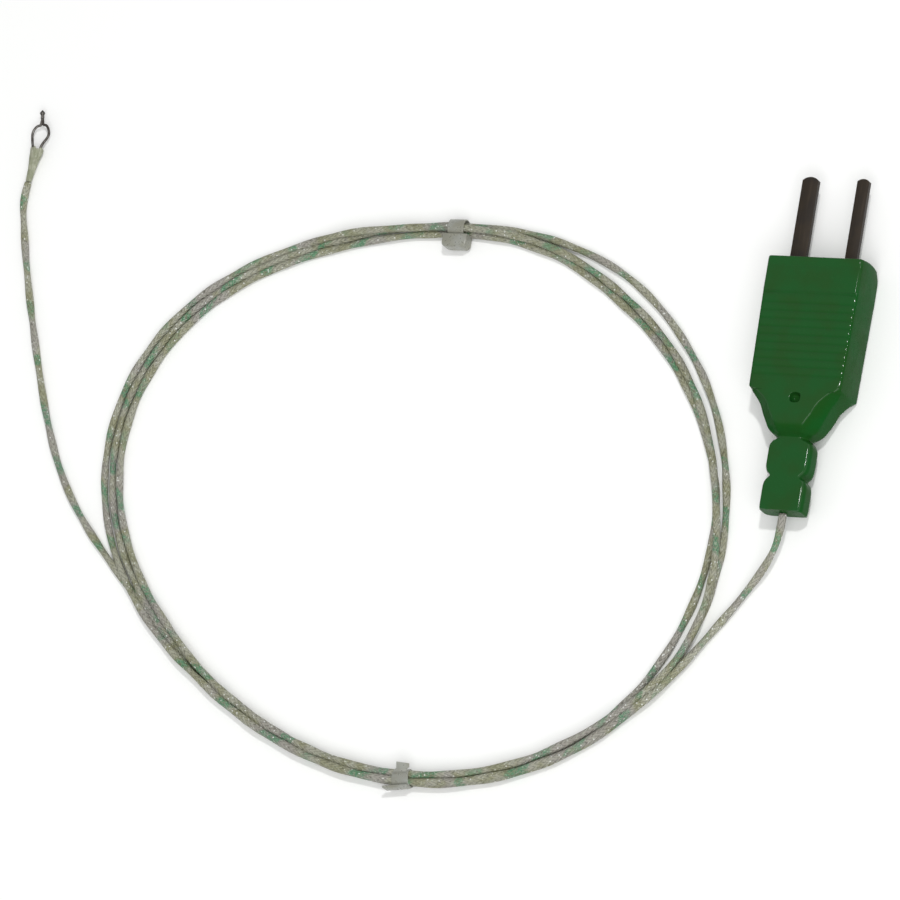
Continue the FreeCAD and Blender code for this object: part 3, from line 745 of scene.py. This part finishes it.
class Recipe:
    def __init__(self, name, **constants):
        self.material = bpy.data.materials.new(name)
        self.material.use_nodes = True
        self.tree = self.material.node_tree
        self.shader = next(node for node in self.tree.nodes if node.type == "BSDF_PRINCIPLED")
        for socket, value in constants.items():
            self.shader.inputs[socket.replace("_", " ")].default_value = value

    def node(self, kind, settings, values, out=0):
        made = self.tree.nodes.new(kind)
        for name, setting in settings.items():
            setattr(made, name, setting)
        for socket, value in (values.items() if isinstance(values, dict) else enumerate(values)):
            if isinstance(value, Value):
                self.tree.links.new(value.socket, made.inputs[socket])
            else:
                made.inputs[socket].default_value = value
        return Value(self, made.outputs[out])

    def place(self):
        return self.node("ShaderNodeTexCoord", {}, {}, "Object")

    def scaled(self, scale, turn=(0, 0, 0)):
        return self.node("ShaderNodeMapping", {}, {"Vector": self.place(), "Scale": scale, "Rotation": turn})

    def noise(self, scale, detail, where=None):
        return self.node("ShaderNodeTexNoise", {}, {"Vector": where or self.place(), "Scale": scale,
                                                    "Detail": detail}, "Fac")

    def wave(self, value):
        return self.node("ShaderNodeMath", {"operation": "SINE"}, (value,))

    def specks(self, scale, size):      # one small round speck to a cell
        far = self.node("ShaderNodeTexVoronoi", {}, {"Vector": self.place(), "Scale": scale}, "Distance")
        return self.band(far, size, size * 0.4)

    def band(self, value, low, high):       # eases from 0 at low to 1 at high
        smooth = {"interpolation_type": "SMOOTHSTEP"}
        return self.node("ShaderNodeMapRange", smooth, {0: value, 1: low, 2: high})

    def mix(self, share, first, second):
        return self.node("ShaderNodeMix", {"data_type": "RGBA"}, {0: share, 6: first, 7: second}, 2)

    def bump(self, height, distance, strength=1.0):
        return self.node("ShaderNodeBump", {}, {"Height": height, "Distance": distance, "Strength": strength})

    def finish(self, **links):
        for socket, value in links.items():
            self.tree.links.new(value.socket, self.shader.inputs[socket.replace("_", " ")])
        return self.material


def colour(red, green, blue):       # from the usual 0 to 255 values to the shader's linear ones
    def linear(part):
        part /= 255
        return part / 12.92 if part <= 0.04045 else ((part + 0.055) / 1.055) ** 2.4
    return (linear(red), linear(green), linear(blue), 1)


def greenMoulding():
    recipe = Recipe("greenMoulding", IOR=1.4, Specular_IOR_Level=0.04, Coat_Roughness=0.12)
    cloud, fine = recipe.noise(260, 3), recipe.noise(1900, 2)
    base = recipe.mix(recipe.band(cloud, 0.35, 0.68), colour(19, 76, 28), colour(26, 71, 24))
    base = recipe.mix(recipe.specks(2600, 0.16) * 0.25, base, colour(48, 108, 54))
    height = cloud * 0.6 + fine * 0.25
    patchy = recipe.band(recipe.noise(480, 1), 0.42, 0.6)
    # The front is glossier than the sides: on the body above its ridges, and on the lobes, which are lower.
    parts = recipe.node("ShaderNodeSeparateXYZ", {}, {0: recipe.place()})
    along, above = (Value(recipe, parts.socket.node.outputs[index]) for index in (1, 2))
    neck, lower = plug["neckAt"] - plug["pinFace"], plug["halfThick"] - plug["reliefHalf"]
    above = above + (0 - along > neck * mm) * (lower * mm)
    front = recipe.band(above, plug["glossFrom"] * mm, plug["glossFull"] * mm)
    return recipe.finish(Base_Color=base, Roughness=fine * 0.14 + patchy * 0.2 + 0.07,
                         Coat_Weight=front * 0.5, Normal=recipe.bump(height, 0.04 * mm, 0.8))


def darkAlloy():
    recipe = Recipe("darkAlloy", Metallic=0.45, Specular_IOR_Level=0.4)
    streaks = recipe.noise(900, 4, recipe.scaled((4, 0.25, 1)))
    cloud = recipe.noise(420, 3)
    base = recipe.mix(recipe.band(cloud, 0.4, 0.65), colour(50, 42, 33), colour(44, 38, 33))
    base = recipe.mix(recipe.band(streaks, 0.5, 0.72) * 0.5, base, colour(64, 54, 44))
    base = recipe.mix(recipe.specks(1500, 0.12) * 0.5, base, colour(26, 22, 19))
    return recipe.finish(Base_Color=base, Roughness=streaks * 0.25 + 0.42,
                         Normal=recipe.bump(streaks * 0.6 + cloud * 0.4, 0.01 * mm))


def wovenGlass(name):
    # Clear braided yarns on the piece's own length, with a pale and a green core showing through in turn.
    recipe = Recipe(name, IOR=1.45, Transmission_Weight=0.3)
    uv = recipe.node("ShaderNodeUVMap", {"uv_map": "along"}, {})
    parts = recipe.node("ShaderNodeSeparateXYZ", {}, {0: uv})
    around, along = (Value(recipe, parts.socket.node.outputs[index]) for index in (0, 1))
    rightHand, leftHand = around * 8 + along * 1.1, around * 8 - along * 1.1
    rightYarn, leftYarn = (abs(recipe.wave(hand * math.pi)) for hand in (rightHand, leftHand))
    over = recipe.wave((rightHand + leftHand) * (math.pi / 2)) > 0
    weave = rightYarn * over + leftYarn * (1 - over)
    cloud, grain, slow = recipe.noise(420, 3), recipe.noise(2400, 2), recipe.noise(150, 2)
    base = recipe.mix(recipe.band(cloud, 0.4, 0.6), colour(178, 178, 160), colour(158, 158, 128))
    base = recipe.mix(recipe.band(slow, 0.5, 0.58) * 0.8, base, colour(172, 168, 162))
    lay = along * (2 * math.pi / lead["lay"])
    core = recipe.wave(lay + slow * 9) * 0.8 + recipe.wave(lay - around * (2 * math.pi)) * 0.35
    shown = recipe.band(core + cloud * 0.9, 0.75, 1.25) * recipe.band(recipe.noise(230, 1), 0.32, 0.56)
    shown = shown * (recipe.band(grain, 0.58, 0.44) * 0.6 + 0.3)
    base = recipe.mix(shown, base, colour(74, 146, 104))
    # Darker where the yarns meet: painted shade in the crevices between the yarns.
    base = recipe.mix(recipe.band(weave, 0.5, 0.05) * 0.55, base, colour(64, 68, 50))
    base = recipe.mix(recipe.band(grain, 0.58, 0.7) * 0.55, base, colour(80, 78, 62))
    base = recipe.mix(recipe.band(grain, 0.42, 0.3) * 0.6, base, colour(196, 202, 184))
    # Near-white specks: painted glints of light on the varnished yarns, which are also made smoother there.
    paintedGlints = recipe.specks(1400, 0.21) + recipe.specks(2300, 0.17) * 0.8
    base = recipe.mix(paintedGlints, base, colour(252, 255, 250))
    return recipe.finish(Base_Color=base, Roughness=0.5 - paintedGlints * 0.3 + grain * 0.1,
                         Normal=recipe.bump(weave + grain * 0.5, 0.06 * mm))


def stiffBraid(name, pale, dull):       # varnished braid, laid on the piece's own place
    recipe = Recipe(name, IOR=1.45)
    cloud, grain = recipe.noise(700, 3), recipe.noise(2600, 2)
    yarn = recipe.noise(1500, 2, recipe.scaled((1.6, 0.5, 1), (0, 0, 0.5)))
    base = recipe.mix(recipe.band(cloud, 0.38, 0.62), pale, dull)
    base = recipe.mix(recipe.band(yarn, 0.5, 0.62) * 0.4, base, colour(96, 98, 76))
    base = recipe.mix(recipe.band(grain, 0.6, 0.7) * 0.3, base, colour(200, 202, 186))
    return recipe.finish(Base_Color=base, Roughness=grain * 0.2 + 0.4,
                         Normal=recipe.bump(yarn + grain * 0.4, 0.05 * mm))


def naturalNylon():
    recipe = Recipe("naturalNylon", IOR=1.45, Transmission_Weight=0.4)
    cloud, fine = recipe.noise(520, 3), recipe.noise(2600, 2)
    base = recipe.mix(recipe.band(cloud, 0.35, 0.65), colour(176, 178, 170), colour(164, 164, 150))
    return recipe.finish(Base_Color=base, Roughness=fine * 0.2 + 0.2,
                         Normal=recipe.bump(cloud * 0.7 + fine * 0.2, 0.05 * mm, 0.8))


def bareMetal(name, first, second, rough):
    recipe = Recipe(name, Metallic=1.0)
    cloud, fine = recipe.noise(1500, 3), recipe.noise(6000, 2)
    base = recipe.mix(recipe.band(cloud, 0.42, 0.6), first, second)
    return recipe.finish(Base_Color=base, Roughness=fine * 0.25 + rough,
                         Normal=recipe.bump(cloud * 0.6 + fine * 0.3, 0.015 * mm))


def dullPlastic(name, first, second):
    recipe = Recipe(name)
    cloud, fine = recipe.noise(500, 3), recipe.noise(3000, 2)
    base = recipe.mix(recipe.band(cloud, 0.35, 0.65), first, second)
    return recipe.finish(Base_Color=base, Roughness=fine * 0.25 + 0.42, Normal=recipe.bump(fine, 0.01 * mm))


def fineYarn(name, first, second):      # the braid on the inner cores, whose mesh has no length of its own
    recipe = Recipe(name)
    rings = recipe.node("ShaderNodeTexWave", {"bands_direction": "DIAGONAL"},
                        {"Vector": recipe.place(), "Scale": 900, "Distortion": 2.0}, "Fac")
    base = recipe.mix(recipe.band(rings, 0.2, 0.8), second, first)
    return recipe.finish(Base_Color=base, Roughness=rings * 0.2 + 0.55, Normal=recipe.bump(rings, 0.02 * mm))


def paleFloor():
    recipe = Recipe("paleFloor", Roughness=0.9, Specular_IOR_Level=0.1)
    base = recipe.mix(recipe.noise(6, 2), colour(250, 250, 249), colour(246, 247, 246))
    return recipe.finish(Base_Color=base)


def dress(piece, material):
    piece.data.materials.clear()
    piece.data.materials.append(material)


braid = wovenGlass("wovenGlass")
nylon = naturalNylon()
alloy = darkAlloy()
nickel = bareMetal("nickelWire", colour(126, 124, 120), colour(88, 84, 80), 0.22)
chrome = bareMetal("nickelChromeWire", colour(104, 100, 96), colour(70, 66, 62), 0.25)
weld = bareMetal("weldMetal", colour(96, 94, 90), colour(64, 62, 60), 0.2)
seal = stiffBraid("stiffBraid", colour(158, 160, 140), colour(134, 138, 114))
dress(leadBraid, braid)
dress(plugBody, greenMoulding())
dress(negativeBlade, alloy)
dress(positiveBlade, alloy)
dress(upperTie, nylon)
dress(lowerTie, nylon)
dress(sealEnd, seal)
dress(negativeLeg, nickel)
dress(positiveLeg, chrome)
dress(weldBead, weld)
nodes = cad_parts
dress(nodes["pin_carrier"], dullPlastic("carrierPlastic", colour(58, 58, 54), colour(44, 44, 42)))
dress(nodes["anchor_sleeve"], dullPlastic("sleevePlastic", colour(32, 32, 32), colour(22, 22, 22)))
dress(nodes["negative_wire_end"], nickel)
dress(nodes["positive_wire_end"], chrome)
dress(nodes["negative_core"], fineYarn("whiteCore", colour(222, 222, 214), colour(190, 190, 180)))
dress(nodes["positive_core"], fineYarn("greenCore", colour(70, 150, 96), colour(40, 110, 64)))
dress(nodes["inner_lead"], seal)
print("materials done")


# Floor and lights

studio = {
    "floor": 3.0,
    "key": {"towards": (0.39, 0.27, 1), "distance": 1.1, "size": 0.06, "watts": 3.6},
    "fill": {"towards": (0.5, -0.6, 1), "distance": 1.2, "size": 0.9, "watts": 7.5},
    "ambient": 0.5,
}


def addStudio():
    clearSelection()
    bpy.ops.mesh.primitive_plane_add(size=studio["floor"], location=(0, 0, 0))
    floor = settle(bpy.context.object, "floor")
    dress(floor, paleFloor())
    aim = Vector(view["aim"]) * mm
    for name in ("key", "fill"):
        choice = studio[name]
        way = Vector(choice["towards"]).normalized()
        bpy.ops.object.light_add(type="AREA", location=aim + way * choice["distance"],
                                 rotation=way.to_track_quat("Z", "Y").to_euler())
        light = bpy.context.object
        light.name = name
        light.data.size = choice["size"]
        light.data.energy = choice["watts"]
    world = bpy.data.worlds.new("studio")
    world.use_nodes = True
    world.node_tree.nodes["Background"].inputs["Strength"].default_value = studio["ambient"]
    world.node_tree.nodes["Background"].inputs["Color"].default_value = (1, 1, 1, 1)
    bpy.context.scene.world = world
    bpy.context.scene.view_settings.view_transform = "Standard"


addStudio()
print("studio done")


# Every piece rides on the one body, and stands for its solids

claim(plugBody, "overmould", "plug_overmould")
claim(negativeBlade, "blades", "negative_blade")
claim(positiveBlade, "blades", "positive_blade")
claim(leadBraid, "lead_braid", "plug_lead", "lead_coil", "junction_lead")
claim(upperTie, "tie_nylon", "upper_tie")
claim(lowerTie, "tie_nylon", "lower_tie")
claim(sealEnd, "lead_seal", "seal_cone")
claim(negativeLeg, "negative_wire", "negative_leg")
claim(positiveLeg, "positive_wire", "positive_leg")
claim(weldBead, "weld_bead", "junction_bead")
